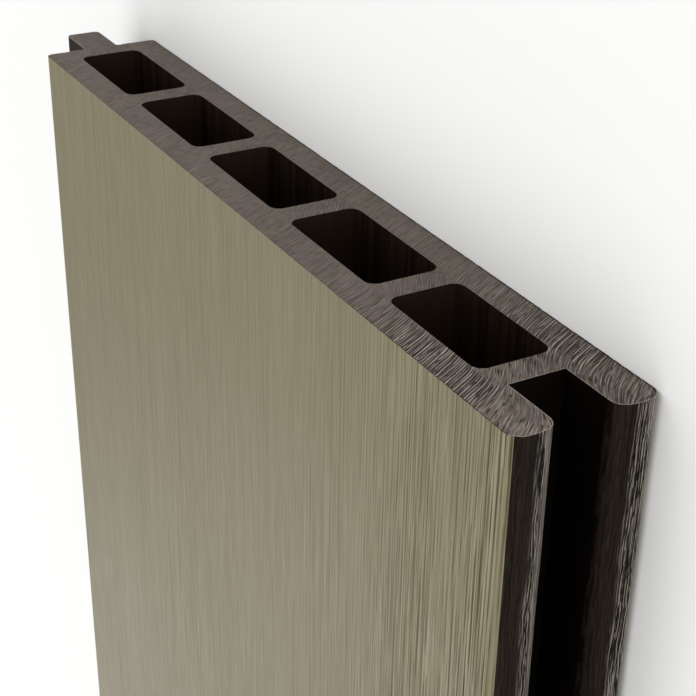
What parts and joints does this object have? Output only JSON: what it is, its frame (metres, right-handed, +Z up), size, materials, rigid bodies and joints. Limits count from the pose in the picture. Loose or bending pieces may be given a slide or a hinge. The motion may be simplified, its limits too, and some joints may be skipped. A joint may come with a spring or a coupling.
{
  "type": "composite fence board",
  "caption": "Long hollow fence board with a row of rounded rectangular chambers, a grooved edge with round lips, and a tongue on the other edge.",
  "frame": {"origin": "middle of the footprint, on the plane that the back face rests on", "axes": "+X along the length, towards the sawn end that the picture shows; +Y across the board, towards the tongue, with the groove facing -Y; +Z up, out of the brushed front face"},
  "size_m": [1.78, 0.1596, 0.021],
  "materials": {
    "composite": "wood-plastic composite: brushed matt greige faces, dark brown sawn ends, lips, groove and chambers"
  },
  "bodies": {
    "root": {"fence_board": "composite"}
  },
  "joints": []
}
